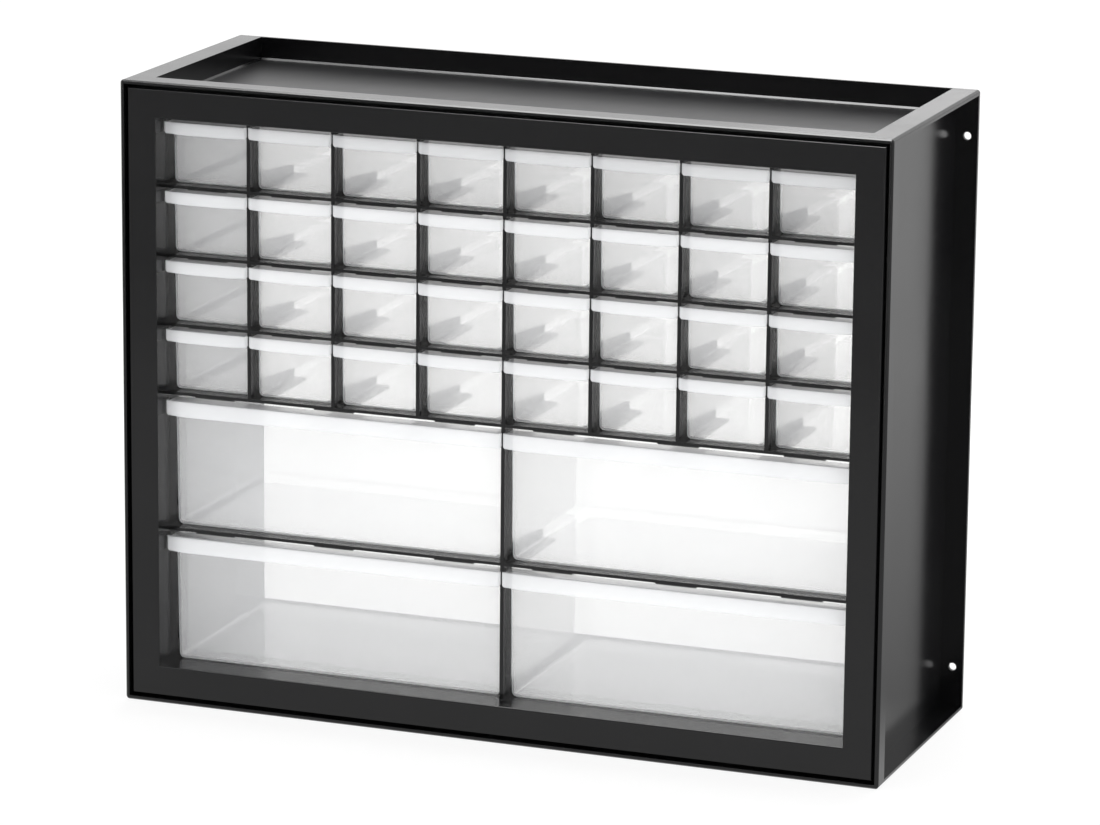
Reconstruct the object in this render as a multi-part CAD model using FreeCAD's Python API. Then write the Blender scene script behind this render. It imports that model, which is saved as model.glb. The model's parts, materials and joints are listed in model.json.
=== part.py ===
import FreeCAD, Part
import math
import os

# A cabinet of small-parts drawers, in millimetres. X runs to the right, the front faces -Y, Z is up.
# The origin is the bottom centre of the cabinet, so its front is at y = -cabinet_depth / 2.

os.makedirs("parts", exist_ok=True)

vector = FreeCAD.Vector
along_x = vector(1, 0, 0)
along_y = vector(0, 1, 0)
along_z = vector(0, 0, 1)

# Cabinet
cabinet_width = 495.0
cabinet_depth = 178.0
cabinet_height = 395.0
cabinet_corner_radius = 2.0

# Casing walls
rim_wall = 2.4
rim_band_depth = 12.0
rim_bevel = 0.9
panel_wall = 2.5
side_pocket_depth = 14.5
flange_wall = 2.5
top_rail_thickness = 3.2
bottom_ledge_thickness = 3.0
grid_seat_depth = 9.5

# Tray on top
tray_depth = 14.5
tray_front_land = 15.5
tray_floor_wall = 2.5
tray_front_wall = 2.4
tray_rear_wall = 2.0
tray_corner_bevel = 1.2

# Floor of the casing
floor_wall = 2.5

# Screw holes in the rear flanges
mount_hole_diameter = 5.0
mount_hole_from_side = 6.75
mount_hole_low = 28.1
mount_hole_from_top = 28.7

# Front grid
small_columns = 8
small_rows = 4
large_columns = 2
large_rows = 2
rows_per_large_drawer = 2
cells_side_margin = 23.1
cells_top_margin = 22.6
cells_floor = 23.6
cell_wall = 2.4
shelf_thickness = 1.95
grid_edge_wall = 2.2
grid_setback = 14.3
grid_bar_depth = 14.0

# Fascia round the grid
fascia_gap = 2.0
fascia_recess = 0.5
fascia_wall = 2.4
fascia_return_wall = 2.0
fascia_edge_bevel = 0.9
opening_edge_bevel = 0.5

# Runners behind the grid
runner_end = 82.0
runner_flange_width = 8.5
runner_lap = 3.0
runner_web_front_height = 9.7
runner_web_rear_height = 4.9

# Tabs under the shelves, which the rear of a tipping drawer catches on
tab_width = 26.0
tab_depth = 3.0
large_tab_from_cell_side = 32.2
small_tab_height = 0.7
large_tab_height = 1.1
tabs_per_large_drawer = 3

# Drawers of both sizes
drawer_seat_gap = 0.3
drawer_side_gap = 1.2
drawer_front_setback = 22.5
drawer_length = 137.5
drawer_wall = 1.3
drawer_floor = 1.5
drawer_draft_degrees = 0.9
pull_front_setback = 11.3
pull_end_gap = 0.6
pull_grid_gap = 0.4
pull_wall = 1.3
pull_top_wall = 1.4
pull_corner_size = 1.8
pull_end_size = 1.6

# Small drawers
small_top_gap = 1.85
small_floor_radius = 3.0
small_rear_bevel = 2.0
small_pull_height = 7.6

# Large drawers
large_top_gap = 3.45
large_floor_radius = 3.5
large_rear_radius = 9.0
large_pull_height = 9.7

# How far a cut runs past the face it opens, and how near an edge lies to the place it is picked by
overrun = 10.0
touching = 0.01

# Places that follow from the sizes above
front_face = -cabinet_depth / 2
rear_face = cabinet_depth / 2
half_width = cabinet_width / 2
seat_plane = front_face + grid_seat_depth
panel_outer = half_width - side_pocket_depth
panel_inner = panel_outer - panel_wall
tray_floor = cabinet_height - tray_depth
cavity_top = tray_floor - tray_floor_wall
casing_floor = cells_floor - grid_edge_wall
fascia_half_width = half_width - rim_wall - fascia_gap
fascia_low = rim_wall + fascia_gap
fascia_high = cabinet_height - fascia_low
fascia_front = front_face + fascia_recess
grid_front = front_face + grid_setback
grid_rear = grid_front + grid_bar_depth
cells_half_width = half_width - cells_side_margin
cells_top = cabinet_height - cells_top_margin
row_pitch = (cells_top - cells_floor) / (small_rows + large_rows * rows_per_large_drawer)
large_row_pitch = row_pitch * rows_per_large_drawer
large_cells_top = cells_floor + large_rows * large_row_pitch


def block(x_low, x_high, y_low, y_high, z_low, z_high):
    return Part.makeBox(x_high - x_low, y_high - y_low, z_high - z_low, vector(x_low, y_low, z_low))


def mirrored(shape):
    return shape.mirror(vector(0, 0, 0), along_x)


def edges_along(shape, direction, chosen=lambda point: True):
    # Straight edges parallel to a direction whose middle passes the test
    found = []
    for edge in shape.Edges:
        if not isinstance(edge.Curve, Part.Line):
            continue
        start, end = edge.Vertexes[0].Point, edge.Vertexes[-1].Point
        run = end.sub(start)
        if run.cross(direction).Length < touching and chosen(start.add(end).multiply(1 / 2)):
            found.append(edge)
    return found


def edges_in_front(shape, y):
    # Every edge that lies wholly in one plane parallel to the front
    return [edge for edge in shape.Edges
            if all(abs(vertex.Point.y - y) < touching for vertex in edge.Vertexes)]


def prism(outline, y_low, y_high):
    # Extrudes an outline of (x, z) points towards the back
    points = [vector(x, y_low, z) for x, z in outline]
    return Part.Face(Part.makePolygon(points + points[:1])).extrude(vector(0, y_high - y_low, 0))


def slab(outline, x_low, x_high):
    # Extrudes an outline of (y, z) points towards the right
    points = [vector(x_low, y, z) for y, z in outline]
    return Part.Face(Part.makePolygon(points + points[:1])).extrude(vector(x_high - x_low, 0, 0))


def make_rim_and_panels():
    # The outer block, hollowed by the seat for the grid, the through cavity and the pocket on each side
    body = block(-half_width, half_width, front_face, rear_face, 0, cabinet_height)
    body = body.makeFillet(cabinet_corner_radius, edges_along(body, along_y))
    body = body.makeChamfer(rim_bevel, edges_in_front(body, front_face))
    rim_inner = half_width - rim_wall
    seat = block(
        -rim_inner, rim_inner, front_face - overrun, seat_plane, rim_wall, cabinet_height - rim_wall)
    cavity = block(
        -panel_inner, panel_inner, front_face - overrun, rear_face + overrun, casing_floor, cavity_top)
    side_pocket = block(
        panel_outer, half_width + overrun, front_face + rim_band_depth, rear_face - flange_wall,
        bottom_ledge_thickness, cabinet_height - top_rail_thickness)
    return body.cut([seat, cavity, side_pocket, mirrored(side_pocket)])


def make_tray_space():
    # The tray sunk in the top, bevelled where its walls meet its floor
    space = block(
        -panel_inner, panel_inner, front_face + tray_front_land, rear_face - tray_rear_wall,
        tray_floor, cabinet_height + overrun)
    low_edges = [edge for edge in space.Edges
                 if all(abs(vertex.Point.z - tray_floor) < touching for vertex in edge.Vertexes)]
    return space.makeChamfer(tray_corner_bevel, low_edges)


def make_front_land_space():
    # The hollow behind the fascia that thins the front wall of the tray
    return block(
        -panel_inner, panel_inner, front_face - overrun, front_face + tray_front_land - tray_front_wall,
        cavity_top - overrun, fascia_high - fascia_return_wall)


def make_underside_space():
    # The hollow below the floor
    return block(
        -panel_inner, panel_inner, front_face + rim_band_depth, rear_face - flange_wall,
        -overrun, casing_floor - floor_wall)


def make_mount_holes():
    holes = []
    for side in (-1, 1):
        for z in (mount_hole_low, cabinet_height - mount_hole_from_top):
            start = vector(side * (half_width - mount_hole_from_side), rear_face - flange_wall - overrun, z)
            length = flange_wall + 2 * overrun
            holes.append(Part.makeCylinder(mount_hole_diameter / 2, length, start, along_y))
    return holes


def make_casing():
    casing = make_rim_and_panels()
    spaces = [make_tray_space(), make_front_land_space(), make_underside_space()]
    return casing.cut(spaces + make_mount_holes()).removeSplitter()


def make_fascia():
    # A flat frame with a return round its outer edge, which seats in the rim, and a sleeve round the cells
    frame = block(
        -fascia_half_width, fascia_half_width, fascia_front, seat_plane, fascia_low, fascia_high)
    frame = frame.makeChamfer(fascia_edge_bevel, edges_in_front(frame, fascia_front))
    hollow_half_width = fascia_half_width - fascia_return_wall
    hollow = block(
        -hollow_half_width, hollow_half_width, fascia_front + fascia_wall, seat_plane + overrun,
        fascia_low + fascia_return_wall, fascia_high - fascia_return_wall)
    sleeve_half_width = cells_half_width + grid_edge_wall
    sleeve = block(
        -sleeve_half_width, sleeve_half_width, fascia_front, grid_rear,
        cells_floor - grid_edge_wall, cells_top + grid_edge_wall)
    opening = block(
        -cells_half_width, cells_half_width, front_face - overrun, grid_rear + overrun,
        cells_floor, cells_top)
    fascia = frame.cut(hollow).fuse(sleeve).cut(opening).removeSplitter()
    opening_edges = [edge for edge in edges_in_front(fascia, fascia_front)
                     if abs(edge.CenterOfMass.x) < cells_half_width + touching
                     and cells_floor - touching < edge.CenterOfMass.z < cells_top + touching]
    return fascia.makeChamfer(opening_edge_bevel, opening_edges)


def shelf_heights():
    # The floors of the rows of cells above the lowest row
    large = [cells_floor + (row + 1) * large_row_pitch for row in range(large_rows)]
    small = [large_cells_top + (row + 1) * row_pitch for row in range(small_rows - 1)]
    return large + small


def make_shelves():
    return [block(-cells_half_width, cells_half_width, grid_front, grid_rear, z - shelf_thickness, z)
            for z in shelf_heights()]


def divider_places(columns):
    # The middles of the upright walls between columns of cells
    pitch = 2 * cells_half_width / columns
    return [(index + 1) * pitch - cells_half_width for index in range(columns - 1)]


def make_dividers():
    dividers = []
    for columns, low, high in ((large_columns, cells_floor, large_cells_top),
                               (small_columns, large_cells_top, cells_top)):
        for x in divider_places(columns):
            dividers.append(block(x - cell_wall / 2, x + cell_wall / 2, grid_front, grid_rear, low, high))
    return dividers


def make_runner(web_left, web_right, floor, left_flange, right_flange):
    # A tapering web on a deck level with the shelf, with a flange on each side that has a drawer
    start = grid_rear - runner_lap
    end = front_face + runner_end
    underside = floor - shelf_thickness
    outline = [
        (start, underside), (end, underside),
        (end, floor + runner_web_rear_height), (start, floor + runner_web_front_height)]
    web = slab(outline, web_left, web_right)
    deck = block(web_left - left_flange, web_right + right_flange, start, end, underside, floor)
    return web.fuse(deck)


def make_runners():
    runners = []
    large_floors = [cells_floor + row * large_row_pitch for row in range(large_rows)]
    small_floors = [large_cells_top + row * row_pitch for row in range(small_rows)]
    for columns, floors in ((large_columns, large_floors), (small_columns, small_floors)):
        for floor in floors:
            for x in divider_places(columns):
                runners.append(make_runner(
                    x - cell_wall / 2, x + cell_wall / 2, floor, runner_flange_width, runner_flange_width))
            outer = cells_half_width + grid_edge_wall
            runners.append(make_runner(cells_half_width, outer, floor, runner_flange_width, 0))
            runners.append(make_runner(-outer, -cells_half_width, floor, 0, runner_flange_width))
    return runners


def make_tab(x, ceiling, height):
    # A low tab with a sloped front, across the front edge of the bar above a drawer
    outline = [
        (grid_front, ceiling), (grid_front + tab_depth, ceiling),
        (grid_front + tab_depth, ceiling - height), (grid_front + height, ceiling - height)]
    return slab(outline, x - tab_width / 2, x + tab_width / 2)


def cell_middles(columns):
    pitch = 2 * cells_half_width / columns
    return [(index + 1 / 2) * pitch - cells_half_width for index in range(columns)]


def make_tabs():
    tabs = []
    spread = 2 * (cells_half_width / large_columns - large_tab_from_cell_side)
    spacing = spread / (tabs_per_large_drawer - 1)
    for row in range(large_rows):
        ceiling = cells_floor + (row + 1) * large_row_pitch - shelf_thickness
        for middle in cell_middles(large_columns):
            for index in range(tabs_per_large_drawer):
                x = middle + index * spacing - spread / 2
                tabs.append(make_tab(x, ceiling, large_tab_height))
    for row in range(small_rows):
        topmost = row == small_rows - 1
        shelf_above = large_cells_top + (row + 1) * row_pitch
        ceiling = cells_top if topmost else shelf_above - shelf_thickness
        for middle in cell_middles(small_columns):
            tabs.append(make_tab(middle, ceiling, small_tab_height))
    return tabs


def make_front_grid():
    members = make_shelves() + make_dividers() + make_runners() + make_tabs()
    return make_fascia().fuse(members).removeSplitter()


def softened(form, size, edges, rounded):
    return form.makeFillet(size, edges) if rounded else form.makeChamfer(size, edges)


def make_tub_form(half_top, half_bottom, front, rear, floor, top):
    # A block with leaning sides
    outline = [(-half_top, top), (-half_bottom, floor), (half_bottom, floor), (half_top, top)]
    return prism(outline, front, rear)


def floor_edges(form, floor):
    return edges_along(form, along_y, lambda point: point.z < floor + touching)


def make_corner_form(half_width_there, front, rear, floor, top, size, rounded):
    # A block softened at its upright rear corners, which gives that shape to what it is crossed with
    form = block(-half_width_there, half_width_there, front, rear, floor, top)
    corners = edges_along(form, along_z, lambda point: point.y > front + touching)
    return softened(form, size, corners, rounded)


def make_drawer_body(half_top, height, floor_radius, rear_corner, rounded):
    # An open tub, rounded along the floor
    lean_slope = math.tan(math.radians(drawer_draft_degrees))
    half_bottom = half_top - height * lean_slope
    front = front_face + drawer_front_setback
    rear = front + drawer_length
    body = make_tub_form(half_top, half_bottom, front, rear, 0, height)
    body = body.makeFillet(floor_radius, floor_edges(body, 0))
    body = body.common(make_corner_form(half_top, front, rear, 0, height, rear_corner, rounded))
    hollow_top = height + overrun
    hollow_half_top = half_bottom + hollow_top * lean_slope - drawer_wall
    hollow_half_floor = half_bottom + drawer_floor * lean_slope - drawer_wall
    hollow_front = front + drawer_wall
    hollow_rear = rear - drawer_wall
    hollow = make_tub_form(
        hollow_half_top, hollow_half_floor, hollow_front, hollow_rear, drawer_floor, hollow_top)
    hollow = hollow.makeChamfer(floor_radius - drawer_wall, floor_edges(hollow, drawer_floor))
    hollow_corner = rear_corner - drawer_wall
    hollow = hollow.common(make_corner_form(
        hollow_half_top, hollow_front, hollow_rear, drawer_floor, hollow_top, hollow_corner, rounded))
    return body.cut(hollow)


def make_pull(half_body, half_pull, height, pull_height, rounded):
    # The lip along the top of the front: a flat top with a skirt turned down along its front and ends
    front = front_face + pull_front_setback
    bar_rear = grid_front - pull_grid_gap
    body_front = front_face + drawer_front_setback
    low = height - pull_height
    bar = block(-half_pull, half_pull, front, bar_rear, low, height)
    bar = softened(bar, pull_corner_size, floor_edges(bar, low), rounded)
    plan = block(-half_pull, half_pull, front, bar_rear, low, height)
    plan_corners = edges_along(plan, along_z, lambda point: point.y < front + touching)
    plan = softened(plan, pull_end_size, plan_corners, rounded)
    under = block(
        pull_wall - half_pull, half_pull - pull_wall, front + pull_wall, bar_rear + overrun,
        low - overrun, height - pull_top_wall)
    neck = block(
        -half_body, half_body, front + pull_wall, body_front + drawer_wall, height - pull_top_wall, height)
    return bar.common(plan).cut(under).fuse(neck)


def make_drawer(columns, cell_height, top_gap, floor_radius, rear_corner, pull_height, rounded):
    # A drawer on the middle line of the cabinet, with its underside at z = 0
    pitch = 2 * cells_half_width / columns
    half_body = pitch / 2 - cell_wall / 2 - drawer_side_gap
    half_pull = pitch / 2 - pull_end_gap
    height = cell_height - shelf_thickness - top_gap - drawer_seat_gap
    body = make_drawer_body(half_body, height, floor_radius, rear_corner, rounded)
    pull = make_pull(half_body, half_pull, height, pull_height, rounded)
    return body.fuse(pull).removeSplitter()


def export_drawers(name, drawer, rows, columns, lowest_floor, pitch):
    # Rows are numbered from the top and columns from the left, as the front is read
    for row in range(rows):
        floor = lowest_floor + (rows - 1 - row) * pitch
        for column, middle in enumerate(cell_middles(columns)):
            placed = drawer.translated(vector(middle, 0, floor + drawer_seat_gap))
            placed.exportStep("parts/%s_r%dc%d.step" % (name, row + 1, column + 1))


make_casing().exportStep("parts/casing.step")
make_front_grid().exportStep("parts/front_grid.step")
small_drawer = make_drawer(
    small_columns, row_pitch, small_top_gap, small_floor_radius, small_rear_bevel, small_pull_height,
    rounded=False)
large_drawer = make_drawer(
    large_columns, large_row_pitch, large_top_gap, large_floor_radius, large_rear_radius, large_pull_height,
    rounded=True)
export_drawers("small_drawer", small_drawer, small_rows, small_columns, large_cells_top, row_pitch)
export_drawers("large_drawer", large_drawer, large_rows, large_columns, cells_floor, large_row_pitch)
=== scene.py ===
import json
import math

import bmesh
import bpy
from mathutils import Matrix, Vector


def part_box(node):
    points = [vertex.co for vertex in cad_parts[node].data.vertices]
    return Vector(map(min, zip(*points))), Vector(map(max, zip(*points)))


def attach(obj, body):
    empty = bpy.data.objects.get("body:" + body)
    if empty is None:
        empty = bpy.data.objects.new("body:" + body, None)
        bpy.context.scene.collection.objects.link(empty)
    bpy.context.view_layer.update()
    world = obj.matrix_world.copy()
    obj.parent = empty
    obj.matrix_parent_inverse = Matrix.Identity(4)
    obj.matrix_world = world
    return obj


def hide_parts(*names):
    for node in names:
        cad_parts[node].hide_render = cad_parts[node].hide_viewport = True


# A cabinet of small-parts drawers: black moulded housing and grid, milky see-through drawers.
# Lengths are in metres. X runs to the right, the front faces -Y, Z is up.

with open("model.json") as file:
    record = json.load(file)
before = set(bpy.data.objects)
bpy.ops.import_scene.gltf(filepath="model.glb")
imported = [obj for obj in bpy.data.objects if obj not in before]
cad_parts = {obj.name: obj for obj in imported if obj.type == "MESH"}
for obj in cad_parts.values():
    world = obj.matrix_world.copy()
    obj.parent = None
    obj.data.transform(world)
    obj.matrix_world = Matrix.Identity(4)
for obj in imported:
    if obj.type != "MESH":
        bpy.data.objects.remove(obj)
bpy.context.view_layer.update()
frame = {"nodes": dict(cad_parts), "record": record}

X, Y, Z = range(3)

# Points nearer to each other than CLOSE are at the same place, and those nearer than MERGED become one
CLOSE = 0.00002
MERGED = CLOSE / 4

# The share of its length with which an edge runs along an axis
STRAIGHT = 0.999

# How squarely a face looks up, to be the top of a block, or ahead, to be the flat front of a drawer
LOOKS_UP = 0.9
LOOKS_AHEAD = 0.98

# The least turn between two faces with which their edge is softened, is shaded sharp, or counts as an
# arris of the grid's front
SOFTENED_TURN = math.radians(38)
SHARP_TURN = math.radians(50)
GRID_FRONT_TURN = math.radians(60)

# Steps of the roundings, and the bevel profile that makes them arcs of a circle
ARRIS_STEPS = 2
FRONT_ARRIS_STEPS = 3
PULL_STEPS = 5
FLOOR_STEPS = 6
REAR_STEPS = 8
ROUND_PROFILE = 0.5

# Arris radii of the black mouldings
CASING_ARRIS = 0.0003
GRID_ARRIS = 0.0002
GRID_FRONT_ARRIS = 0.00045

# How far a face that lines an opening can lie from the opening's box
LINING = 0.0007

# Drawers of both sizes
WALL = 0.0013
PULL_WALL = 0.0013
PULL_TOP = 0.0014
PULL_DEPTH = 0.0026
PULL_OVERHANG = 0.0112
PULL_SIDE_LAP = 0.0018
PULL_CORNER = 0.0020
PULL_PLAN_CORNER = 0.0018
NECK_LAP = WALL / 2
FRONT_ARRIS = 0.0009
RIM_ARRIS = 0.00025
DRAFT = math.tan(math.radians(0.9))
SMALL_FLOOR_RADIUS = 0.0030
SMALL_REAR_RADIUS = 0.0030
SMALL_PULL_HEIGHT = 0.0076
LARGE_FLOOR_RADIUS = 0.0035
LARGE_REAR_RADIUS = 0.0090
LARGE_PULL_HEIGHT = 0.0097


# Modelling helpers

def use_only(piece):
    bpy.ops.object.select_all(action="DESELECT")
    piece.select_set(True)
    bpy.context.view_layer.objects.active = piece


def start_block(name, low, high):
    bpy.ops.object.select_all(action="DESELECT")
    bpy.ops.mesh.primitive_cube_add(size=1, location=(Vector(low) + Vector(high)) / 2)
    piece = bpy.context.object
    piece.name = piece.data.name = name
    piece.scale = Vector(high) - Vector(low)
    bpy.ops.object.transform_apply(location=True, rotation=False, scale=True)
    return piece


def choose(piece, kind, wanted):
    """In edit mode, selects only the vertices, edges or faces that pass a test on them."""
    bpy.ops.mesh.select_mode(type=kind)
    bpy.ops.mesh.select_all(action="DESELECT")
    mesh = bmesh.from_edit_mesh(piece.data)
    parts = {"VERT": mesh.verts, "EDGE": mesh.edges, "FACE": mesh.faces}[kind]
    for part in parts:
        if wanted(part):
            part.select_set(True)
    mesh.select_flush_mode()
    bmesh.update_edit_mesh(piece.data)


def round_off(radius, steps):
    """In edit mode, rounds the chosen edges."""
    bpy.ops.mesh.bevel(offset=radius, segments=steps, profile=ROUND_PROFILE)


def edge_runs(edge, axis):
    run = edge.verts[1].co - edge.verts[0].co
    return abs(run[axis]) > STRAIGHT * run.length


def edge_lies(edge, axis, level):
    """True where both ends of an edge are at one level along an axis."""
    return all(abs(end.co[axis] - level) < CLOSE for end in edge.verts)


def edge_middle(edge):
    return (edge.verts[0].co + edge.verts[1].co) / 2


def apply_modifier(piece, kind, **settings):
    use_only(piece)
    modifier = piece.modifiers.new(kind.title(), kind)
    for name, value in settings.items():
        setattr(modifier, name, value)
    bpy.ops.object.modifier_apply(modifier=modifier.name)


def combine(piece, other, operation):
    apply_modifier(piece, "BOOLEAN", object=other, operation=operation, solver="EXACT")
    bpy.data.objects.remove(other)


def soften(piece, width):
    """Takes the sharpness off every arris of a finished shape."""
    apply_modifier(
        piece, "BEVEL", width=width, segments=ARRIS_STEPS, limit_method="ANGLE",
        angle_limit=SOFTENED_TURN, use_clamp_overlap=True, miter_outer="MITER_ARC")


def smooth(piece):
    """Round shading on the arrises only: the large flat faces stay flat up to their edges."""
    use_only(piece)
    bpy.ops.object.shade_smooth_by_angle(angle=SHARP_TURN)
    apply_modifier(piece, "WEIGHTED_NORMAL", mode="FACE_AREA", keep_sharp=True)


# Drawers

def model_tub(low, high, floor_radius, rear_radius):
    """The open tub of a drawer: leaning sides, round along the floor and at the rear corners."""
    half_width = (high.x - low.x) / 2
    lean = (high.z - low.z) * DRAFT

    def is_rear_corner(edge):
        upright = not edge_runs(edge, X) and not edge_runs(edge, Y)
        return upright and edge_middle(edge).y > high.y - CLOSE

    def is_floor_edge(edge):
        return edge_lies(edge, Z, low.z) and edge_middle(edge).y > low.y + CLOSE

    def is_front_edge(edge):
        return edge_lies(edge, Y, low.y) and edge_middle(edge).z < high.z - CLOSE

    tub = start_block("tub", low, high)
    bpy.ops.object.mode_set(mode="EDIT")
    choose(tub, "VERT", lambda corner: corner.co.z < low.z + CLOSE)
    bpy.ops.transform.resize(value=(1 - lean / half_width, 1, 1))
    choose(tub, "EDGE", is_rear_corner)
    round_off(rear_radius, REAR_STEPS)
    choose(tub, "EDGE", is_floor_edge)
    round_off(floor_radius, FLOOR_STEPS)
    choose(tub, "FACE", lambda face: face.normal.z > LOOKS_UP)
    bpy.ops.mesh.delete(type="FACE")
    bpy.ops.object.mode_set(mode="OBJECT")
    apply_modifier(tub, "SOLIDIFY", thickness=WALL, offset=-1, use_even_offset=True, use_rim=True)
    bpy.ops.object.mode_set(mode="EDIT")
    choose(tub, "EDGE", is_front_edge)
    round_off(FRONT_ARRIS, FRONT_ARRIS_STEPS)
    bpy.ops.object.mode_set(mode="OBJECT")
    return tub


def model_pull(low, high, body_low, body_high, pull_height):
    """The lip along the top of the front, with a skirt turned down along its front and ends."""
    middle = (low.x + high.x) / 2
    half_width = (high.x - low.x) / 2
    skirt_foot = high.z - pull_height

    def is_plan_corner(edge):
        return edge_runs(edge, Z) and edge_middle(edge).y < low.y + CLOSE

    def is_end_foot(edge):
        at_end = abs(edge_middle(edge).x - middle) > half_width - PULL_PLAN_CORNER
        return at_end and edge_lies(edge, Z, skirt_foot)

    pull = start_block("pull", (low.x, low.y, skirt_foot), (high.x, low.y + PULL_DEPTH, high.z))
    bpy.ops.object.mode_set(mode="EDIT")
    choose(pull, "EDGE", is_plan_corner)
    round_off(PULL_PLAN_CORNER, PULL_STEPS)
    choose(pull, "EDGE", is_end_foot)
    round_off(PULL_CORNER, PULL_STEPS)
    bpy.ops.object.mode_set(mode="OBJECT")

    # The hollow runs out below the skirt and behind it
    hollow = start_block(
        "hollow", (low.x + PULL_WALL, low.y + PULL_WALL, low.z - WALL),
        (high.x - PULL_WALL, low.y + PULL_DEPTH * 2, high.z - PULL_TOP))
    combine(pull, hollow, "DIFFERENCE")
    neck = start_block(
        "neck", (body_low.x, low.y + PULL_WALL, high.z - PULL_TOP),
        (body_high.x, body_low.y + NECK_LAP, high.z))
    combine(pull, neck, "UNION")
    return pull


def model_drawer(name, node, floor_radius, rear_radius, pull_height):
    low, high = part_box(node)
    body_low = Vector((low.x + PULL_SIDE_LAP, low.y + PULL_OVERHANG, low.z))
    body_high = Vector((high.x - PULL_SIDE_LAP, high.y, high.z))
    drawer = model_tub(body_low, body_high, floor_radius, rear_radius)
    pull = model_pull(low, high, body_low, body_high, pull_height)
    combine(drawer, pull, "UNION")
    soften(drawer, RIM_ARRIS)
    smooth(drawer)
    drawer.name = drawer.data.name = name
    return drawer


def looks_thick(face, front):
    """On the pull, or on the round edge of the front, where the eye looks along the plastic."""
    on_pull = face.center.y < front - CLOSE
    on_arris = face.center.y < front + FRONT_ARRIS and abs(face.normal.y) < LOOKS_AHEAD
    return on_pull or on_arris


def finish_drawer(drawer, wall_finish, pull_finish, front):
    """The walls and the pull are one moulding, but where it looks thicker it passes less light."""
    drawer.data.materials.clear()
    drawer.data.materials.append(wall_finish)
    drawer.data.materials.append(pull_finish)
    for face in drawer.data.polygons:
        face.material_index = int(looks_thick(face, front))


def place_copies(shape, nodes):
    """One copy of a modelled drawer for each node of its size, each riding on its own body."""
    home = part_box(nodes[0])[0]
    for node in nodes:
        drawer = shape.copy()
        drawer.data = shape.data.copy()
        drawer.name = drawer.data.name = "clear_" + node
        drawer.data.transform(Matrix.Translation(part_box(node)[0] - home))
        bpy.context.scene.collection.objects.link(drawer)
        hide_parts(node)
        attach(drawer, node)
    bpy.data.objects.remove(shape)


def make_drawers(name, nodes, wall_finish, pull_finish, floor_radius, rear_radius, pull_height):
    """All the drawers of one size: the first is modelled where its node lies, and then copied."""
    shape = model_drawer(name, nodes[0], floor_radius, rear_radius, pull_height)
    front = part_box(nodes[0])[0].y + PULL_OVERHANG
    finish_drawer(shape, wall_finish, pull_finish, front)
    place_copies(shape, nodes)


# Black mouldings

def model_moulding(name, node, arris, finish, front_arris=0):
    """The moulding of a node with its arrises rounded, as a real mould leaves them."""
    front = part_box(node)[0].y

    def is_front_arris(edge):
        return edge_lies(edge, Y, front) and edge.calc_face_angle(0) > GRID_FRONT_TURN

    piece = bpy.data.objects.new(name, frame["nodes"][node].data.copy())
    bpy.context.scene.collection.objects.link(piece)
    use_only(piece)
    bpy.ops.object.mode_set(mode="EDIT")
    bpy.ops.mesh.select_all(action="SELECT")
    bpy.ops.mesh.remove_doubles(threshold=MERGED)
    if front_arris:
        choose(piece, "EDGE", is_front_arris)
        round_off(front_arris, FRONT_ARRIS_STEPS)
    bpy.ops.object.mode_set(mode="OBJECT")
    soften(piece, arris)
    smooth(piece)
    piece.data.materials.clear()
    piece.data.materials.append(finish)
    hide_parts(node)
    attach(piece, "root")
    return piece


def finish_inside(piece, opening, finish):
    """Gives the faces that line a stated opening another finish."""
    boxes = {space["name"]: space["box_m"] for space in frame["record"]["physics"]["openings"]}
    low, high = boxes[opening]
    piece.data.materials.append(finish)
    for face in piece.data.polygons:
        beside = [low[axis] - LINING < face.center[axis] < high[axis] + LINING for axis in (X, Y, Z)]
        below_top = face.center.z < high[Z] - LINING
        if all(beside) and below_top:
            face.material_index = len(piece.data.materials) - 1


# Finishes

WHITE = (1, 1, 1, 1)

# Sockets of the nodes that mix two colours and two shaders, which share their names
COLOUR_SHARE = 0
FIRST_COLOUR = 6
SECOND_COLOUR = 7
MIXED_COLOUR = 2
FIRST_SHADER = 1
SECOND_SHADER = 2

# Black moulding, where haze and handling marks add to the roughness
BLACK = (0.0032, 0.0032, 0.0036, 1)
HAZED_BLACK = (0.0046, 0.0046, 0.0050, 1)
BLACK_IOR = 1.42
BLACK_ROUGHNESS = 0.18
HAZE_SIZE = 0.060
HAZE_RANGE = (0.42, 0.68)
HAZE_ROUGHNESS = 0.03
MARK_SIZE = 0.009
MARK_RANGE = (0.55, 0.75)
MARK_ROUGHNESS = 0.02

# Black moulding with a matt grain
GRAINED_BLACK = (0.013, 0.013, 0.014, 1)
HAZED_GRAINED_BLACK = (0.017, 0.017, 0.018, 1)
GRAINED_IOR = 1.45
GRAINED_ROUGHNESS = 0.33
GRAINED_HAZE_SIZE = 0.070
GRAINED_HAZE_RANGE = (0.40, 0.70)
GRAINED_HAZE_ROUGHNESS = 0.05
GRAIN_SIZE = 0.0006
GRAIN_DEPTH = 0.00003
GRAIN_STRENGTH = 0.35

# Milky moulding, where clouds in the plastic add to the roughness. See-through is the share of what it
# shows that lies behind it, and glow is the share of the rest that is light from behind.
MILK = (0.935, 0.952, 0.985, 1)
CLOUDED_MILK = (0.955, 0.968, 0.992, 1)
MILK_LIT_THROUGH = (0.955, 0.970, 0.990, 1)
MILK_SEEN_THROUGH = (0.993, 0.991, 0.987, 1)
MILK_IOR = 1.49
MILK_ROUGHNESS = 0.20
CLOUD_SIZE = 0.030
CLOUD_ROUGHNESS = 0.06
GLOSS_ROUGHNESS = 0.10
WALL_SEE_THROUGH = 0.78
WALL_GLOW = 0.25
PULL_SEE_THROUGH = 0.45
PULL_GLOW = 0.18


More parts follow.
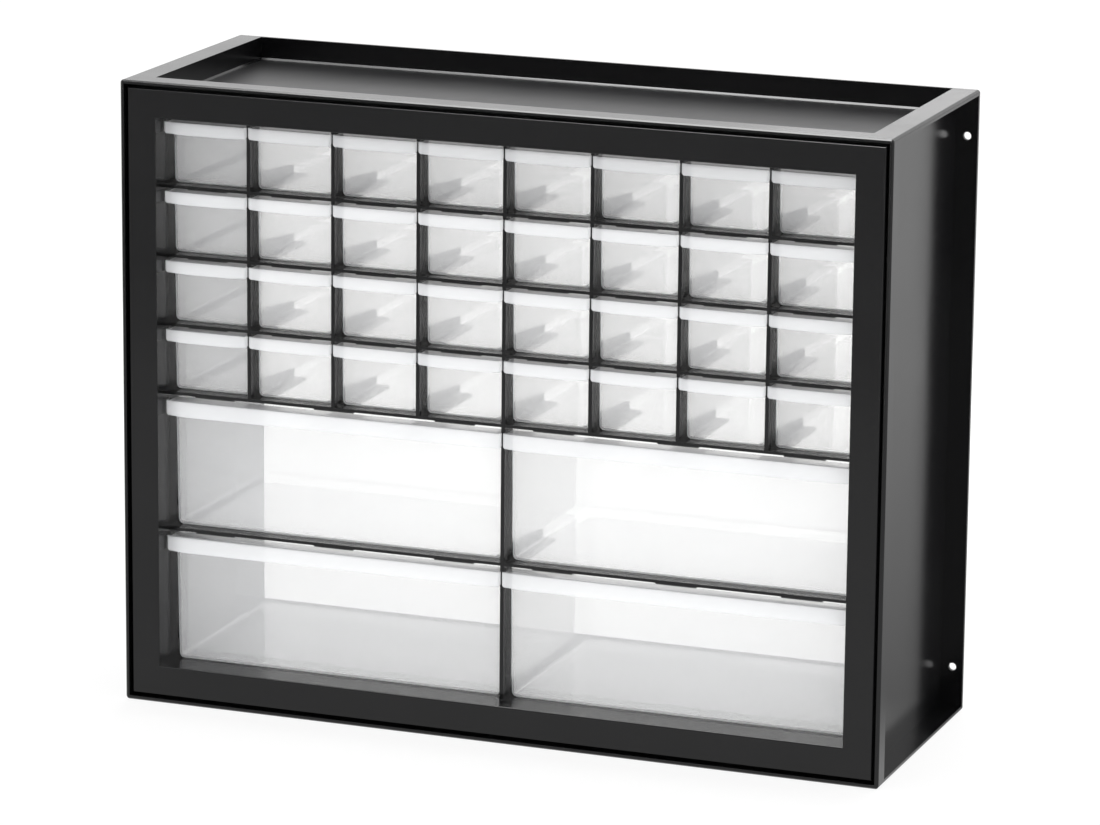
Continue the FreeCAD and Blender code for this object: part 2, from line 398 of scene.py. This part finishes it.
class Signal:
    """A value in a shader. Calculating with it adds Math nodes."""

    def __init__(self, nodes, socket):
        self.nodes = nodes
        self.socket = socket

    def math(self, operation, first, second):
        return self.nodes.add("Math", {"operation": operation}, {0: first, 1: second})

    def __add__(self, other):
        return self.math("ADD", self, other)

    def __sub__(self, other):
        return self.math("SUBTRACT", self, other)

    def __rsub__(self, other):
        return self.math("SUBTRACT", other, self)

    def __mul__(self, other):
        return self.math("MULTIPLY", self, other)

    __radd__ = __add__
    __rmul__ = __mul__

    def between(self, low, high, to_low=0.0, to_high=1.0):
        """Runs evenly from to_low, where the value is low, to to_high, where it is high."""
        return self.nodes.add("MapRange", {"clamp": True}, {
            "Value": self, "From Min": low, "From Max": high, "To Min": to_low, "To Max": to_high})


class Nodes:
    """The nodes of a material or of the world, added one call at a time."""

    def __init__(self, tree, end):
        self.tree = tree
        self.surface = tree.nodes[end].inputs["Surface"]

    def add(self, kind, settings=None, inputs=None, output=0):
        node = self.tree.nodes.new("ShaderNode" + kind)
        for name, value in (settings or {}).items():
            setattr(node, name, value)
        for name, value in (inputs or {}).items():
            self.feed(node.inputs[name], value)
        return Signal(self, node.outputs[output])

    def feed(self, socket, value):
        if isinstance(value, Signal):
            self.tree.links.new(value.socket, socket)
        else:
            socket.default_value = value

    def ray(self, kind):
        """1 where the ray that looks at the surface is of that kind, and 0 elsewhere."""
        return self.add("LightPath", output=kind)

    def mix(self, share, first, second):
        """A shader that runs from first to second as share runs from 0 to 1."""
        return self.add("MixShader", inputs={"Fac": share, FIRST_SHADER: first, SECOND_SHADER: second})

    def end_with(self, shader):
        self.feed(self.surface, shader)


class Finish(Nodes):
    """A material around one main shader."""

    def __init__(self, name):
        self.material = bpy.data.materials.new(name)
        self.material.use_nodes = True
        super().__init__(self.material.node_tree, "Material Output")
        self.shader = self.tree.nodes["Principled BSDF"]
        self.main = Signal(self, self.shader.outputs[0])
        self.place = self.add("TexCoord", output="Object")

    def set(self, **inputs):
        for name, value in inputs.items():
            self.feed(self.shader.inputs[name.replace("_", " ")], value)

    def noise(self, size, detail):
        """Soft random patches about as wide as size."""
        return self.add(
            "TexNoise", inputs={"Vector": self.place, "Scale": 1 / size, "Detail": detail}, output="Fac")

    def blend(self, share, first, second):
        """A colour that runs from first to second as share runs from 0 to 1."""
        return self.add(
            "Mix", {"data_type": "RGBA"},
            {COLOUR_SHARE: share, FIRST_COLOUR: first, SECOND_COLOUR: second}, MIXED_COLOUR)

    def bump(self, height, depth, strength):
        return self.add(
            "Bump", inputs={"Height": height, "Distance": depth, "Strength": strength}, output="Normal")


def make_black_plastic():
    """Satin black moulding with a faint haze and small handling marks in its gloss."""
    finish = Finish("black_plastic")
    haze = finish.noise(HAZE_SIZE, detail=4).between(*HAZE_RANGE)
    marks = finish.noise(MARK_SIZE, detail=3).between(*MARK_RANGE)
    finish.set(
        Base_Color=finish.blend(haze, BLACK, HAZED_BLACK),
        Roughness=haze * HAZE_ROUGHNESS + marks * MARK_ROUGHNESS + BLACK_ROUGHNESS,
        IOR=BLACK_IOR)
    return finish.material


def make_grained_plastic():
    """The same black plastic with a matt moulded grain, as on the floor and walls of the tray."""
    finish = Finish("grained_black_plastic")
    grain = finish.noise(GRAIN_SIZE, detail=2)
    haze = finish.noise(GRAINED_HAZE_SIZE, detail=4).between(*GRAINED_HAZE_RANGE)
    finish.set(
        Base_Color=finish.blend(haze, GRAINED_BLACK, HAZED_GRAINED_BLACK),
        Roughness=haze * GRAINED_HAZE_ROUGHNESS + GRAINED_ROUGHNESS,
        IOR=GRAINED_IOR,
        Normal=finish.bump(grain, GRAIN_DEPTH, GRAIN_STRENGTH))
    return finish.material


def make_clear_plastic(name, see_through, glow):
    """Milky thin moulding: part of the light goes straight through, and part is scattered either way.

    It shines where a line of sight enters the plastic, not where it leaves it, and not again within a
    reflection. Lamps and soft light pass it as if it were clear, so that the drawers behind it stay lit.
    """
    finish = Finish(name)
    cloud = finish.noise(CLOUD_SIZE, detail=3)
    finish.set(
        Base_Color=finish.blend(cloud, MILK, CLOUDED_MILK),
        Roughness=cloud * CLOUD_ROUGHNESS + MILK_ROUGHNESS,
        IOR=MILK_IOR)
    behind = finish.add("BsdfTranslucent", inputs={"Color": MILK_LIT_THROUGH})
    clear = finish.add("BsdfTransparent", inputs={"Color": MILK_SEEN_THROUGH})
    milk = finish.mix(glow, finish.main, behind)
    body = finish.mix(see_through, milk, clear)
    mirror = finish.add("BsdfGlossy", inputs={"Color": WHITE, "Roughness": GLOSS_ROUGHNESS})
    entering = 1 - finish.add("NewGeometry", output="Backfacing")
    facing = finish.add("Fresnel", inputs={"IOR": MILK_IOR})
    mirrored = facing * entering * (1 - finish.ray("Is Glossy Ray"))
    wall = finish.mix(mirrored, body, mirror)
    soft_light = finish.ray("Is Shadow Ray") + finish.ray("Is Diffuse Ray")
    finish.end_with(finish.mix(soft_light, wall, clear))
    return finish.material


# Studio

# How many see-through surfaces a line of sight may cross. Up to 12 walls of two surfaces lie in line.
MOST_SURFACES_IN_LINE = 32

# Something white that glows with full strength looks white. The world gives less light than that.
FULL_STRENGTH = 1.0
ROOM_LIGHT = 0.92

# The floor glows where it is seen. In reflections it is dimmer behind the cabinet, along Y: painted
# shade in place of the cabinet's shadow on the floor.
FLOOR_SIZE = 8
FLOOR_DROP = 0.0002
FLOOR_COLOUR = (0.92, 0.92, 0.92, 1)
# Painted shade: the floor's colour as reflections see it, darker than the camera sees it
FLOOR_REFLECTION_PAINTED_SHADE = (0.12, 0.12, 0.12, 1)
FLOOR_ROUGHNESS = 0.8
FLOOR_GLOW = 0.85
FLOOR_PAINTED_SHADE_GLOW = 0.22
FLOOR_PAINTED_SHADE_START = -0.05
FLOOR_PAINTED_SHADE_FULL = 0.10
FLOOR_PAINTED_SHADE_END = 1.40

# The grey card in front of the cabinet
CARD_PLACE = (-0.3, -0.95, 0.77)
CARD_WIDTH = 3.0
CARD_HEIGHT = 1.5
CARD_COLOUR = (0.36, 0.36, 0.36, 1)
CARD_ROUGHNESS = 0.9

# The camera, fitted to the photograph, whose width and focal length are in pixels
PHOTO_WIDTH = 1100
PHOTO_FOCAL_LENGTH = 5344.5
SENSOR = 36.0
FARTHEST_SEEN = 50
CAMERA_PLACE = Vector((1.1360, -3.0146, 0.9738))
CAMERA_YAW = math.radians(20.610)
CAMERA_PITCH = math.radians(13.696)
CAMERA_ROLL = math.radians(0.549)

# Where most of the lamps point
CABINET_MIDDLE = (0, 0, 0.2)


def place_camera():
    forward = Vector((
        -math.sin(CAMERA_YAW) * math.cos(CAMERA_PITCH),
        math.cos(CAMERA_YAW) * math.cos(CAMERA_PITCH),
        -math.sin(CAMERA_PITCH)))
    level = Vector((math.cos(CAMERA_YAW), math.sin(CAMERA_YAW), 0))
    upright = level.cross(forward)
    right = math.cos(CAMERA_ROLL) * level + math.sin(CAMERA_ROLL) * upright
    up = math.cos(CAMERA_ROLL) * upright - math.sin(CAMERA_ROLL) * level
    camera = bpy.data.objects.new("camera", bpy.data.cameras.new("camera"))
    camera.data.sensor_width = SENSOR
    camera.data.lens = PHOTO_FOCAL_LENGTH / PHOTO_WIDTH * SENSOR
    camera.data.clip_end = FARTHEST_SEEN
    turn = Matrix((right, up, -forward)).transposed()
    camera.matrix_world = Matrix.Translation(CAMERA_PLACE) @ turn.to_4x4()
    bpy.context.scene.collection.objects.link(camera)
    bpy.context.scene.camera = camera


def add_softbox(name, place, aim, width, height, radiance, mirrored=True, lighting=True):
    """A flat lamp that looks as bright as radiance says, where a white floor in full light is 1."""
    light = bpy.data.lights.new(name, "AREA")
    light.shape = "RECTANGLE"
    light.size = width
    light.size_y = height
    light.energy = radiance * math.pi * width * height
    lamp = bpy.data.objects.new(name, light)
    lamp.location = place
    lamp.rotation_euler = (Vector(aim) - Vector(place)).to_track_quat("-Z", "Y").to_euler()
    lamp.visible_camera = False
    lamp.visible_diffuse = lighting
    lamp.visible_glossy = mirrored
    lamp.visible_transmission = mirrored
    bpy.context.scene.collection.objects.link(lamp)


def light_world():
    world = bpy.data.worlds.new("studio")
    bpy.context.scene.world = world
    world.use_nodes = True
    nodes = Nodes(world.node_tree, "World Output")
    room = nodes.add("Background", inputs={"Color": WHITE, "Strength": ROOM_LIGHT})
    backdrop = nodes.add("Background", inputs={"Color": WHITE, "Strength": FULL_STRENGTH})
    seen = nodes.ray("Is Camera Ray") + nodes.ray("Is Glossy Ray") + nodes.ray("Is Transmission Ray")
    nodes.end_with(nodes.mix(seen, room, backdrop))


def lay_floor():
    """A pale floor that shows white to the camera and keeps a little of the shadow."""
    bpy.ops.object.select_all(action="DESELECT")
    bpy.ops.mesh.primitive_plane_add(size=FLOOR_SIZE, location=(0, 0, -FLOOR_DROP))
    floor = bpy.context.object
    floor.name = floor.data.name = "floor"
    finish = Finish("floor_white")
    finish.set(
        # Painted shade: reflections see the floor in a darker colour than the camera does.
        Base_Color=finish.blend(finish.ray("Is Glossy Ray"), FLOOR_COLOUR, FLOOR_REFLECTION_PAINTED_SHADE),
        Roughness=FLOOR_ROUGHNESS)
    glow = finish.add("Emission", inputs={"Color": WHITE, "Strength": FULL_STRENGTH})
    # Painted shade: in reflections the floor's glow drops from full just in front of the cabinet to its
    # lowest just behind its front, and rises again farther back.
    depth = finish.add("SeparateXYZ", inputs={0: finish.place}, output="Y")
    unshaded_in_front = depth.between(FLOOR_PAINTED_SHADE_START, FLOOR_PAINTED_SHADE_FULL, FLOOR_GLOW - FLOOR_PAINTED_SHADE_GLOW, 0.0)
    reflected_with_painted_shade = depth.between(FLOOR_PAINTED_SHADE_FULL, FLOOR_PAINTED_SHADE_END, FLOOR_PAINTED_SHADE_GLOW, FLOOR_GLOW) + unshaded_in_front
    in_view = (finish.ray("Is Camera Ray") + finish.ray("Is Transmission Ray")) * FLOOR_GLOW
    glowing = finish.ray("Is Glossy Ray") * reflected_with_painted_shade + in_view
    finish.end_with(finish.mix(glowing, finish.main, glow))
    floor.data.materials.append(finish.material)


def stand_grey_card():
    """A grey card in front of the cabinet, which only its reflections see."""
    bpy.ops.object.select_all(action="DESELECT")
    bpy.ops.mesh.primitive_plane_add(size=1, location=CARD_PLACE, rotation=(math.pi / 2, 0, 0))
    card = bpy.context.object
    card.name = card.data.name = "grey_card"
    card.scale = (CARD_WIDTH, CARD_HEIGHT, 1)
    bpy.ops.object.transform_apply(location=True, rotation=True, scale=True)
    finish = Finish("card_grey")
    finish.set(Base_Color=CARD_COLOUR, Roughness=CARD_ROUGHNESS)
    card.data.materials.append(finish.material)
    card.visible_camera = False
    card.visible_diffuse = False
    card.visible_transmission = False
    card.visible_shadow = False


def hang_lamps():
    """Lamps that aren't mirrored only give light, and lamps that aren't lighting are only mirrored."""
    add_softbox(
        "right_softbox", place=(2.4, 0.3, 0.9), aim=CABINET_MIDDLE,
        width=2.2, height=1.8, radiance=1.2)
    add_softbox(
        "rear_softbox", place=(0.2, 2.4, 1.35), aim=(0, 0, 0.3),
        width=3.6, height=2.4, radiance=1.7, mirrored=False)
    add_softbox(
        "back_light", place=(0, 1.0, 0.45), aim=CABINET_MIDDLE,
        width=1.4, height=0.8, radiance=4.0, mirrored=False)
    add_softbox(
        "rear_strip", place=(-0.5, 2.4, 0.95), aim=(-0.5, 0, 0.95),
        width=3.0, height=0.25, radiance=0.45, lighting=False)
    add_softbox(
        "rail_strip", place=(0.1, 2.4, 0.9), aim=(0.1, 0, 0.9),
        width=1.5, height=0.25, radiance=2.3, lighting=False)
    add_softbox(
        "edge_strip", place=(-0.3, -0.6, 2.4), aim=CABINET_MIDDLE,
        width=1.4, height=0.7, radiance=16.0, lighting=False)
    add_softbox(
        "top_softbox", place=(-0.2, -0.6, 2.4), aim=CABINET_MIDDLE,
        width=1.8, height=1.8, radiance=1.1)


# The cabinet

black = make_black_plastic()
clear_wall = make_clear_plastic("clear_plastic", WALL_SEE_THROUGH, WALL_GLOW)
clear_pull = make_clear_plastic("clear_plastic_pull", PULL_SEE_THROUGH, PULL_GLOW)
housing = model_moulding("housing", "casing", CASING_ARRIS, black)
finish_inside(housing, "tray", make_grained_plastic())
model_moulding("drawer_grid", "front_grid", GRID_ARRIS, black, GRID_FRONT_ARRIS)
small_nodes = [name for name in frame["nodes"] if name.startswith("small_drawer")]
large_nodes = [name for name in frame["nodes"] if name.startswith("large_drawer")]
make_drawers(
    "small_drawer", small_nodes, clear_wall, clear_pull,
    SMALL_FLOOR_RADIUS, SMALL_REAR_RADIUS, SMALL_PULL_HEIGHT)
make_drawers(
    "large_drawer", large_nodes, clear_wall, clear_pull,
    LARGE_FLOOR_RADIUS, LARGE_REAR_RADIUS, LARGE_PULL_HEIGHT)

place_camera()
light_world()
lay_floor()
stand_grey_card()
hang_lamps()
bpy.context.scene.view_settings.view_transform = "Standard"
bpy.context.scene.cycles.transparent_max_bounces = MOST_SURFACES_IN_LINE
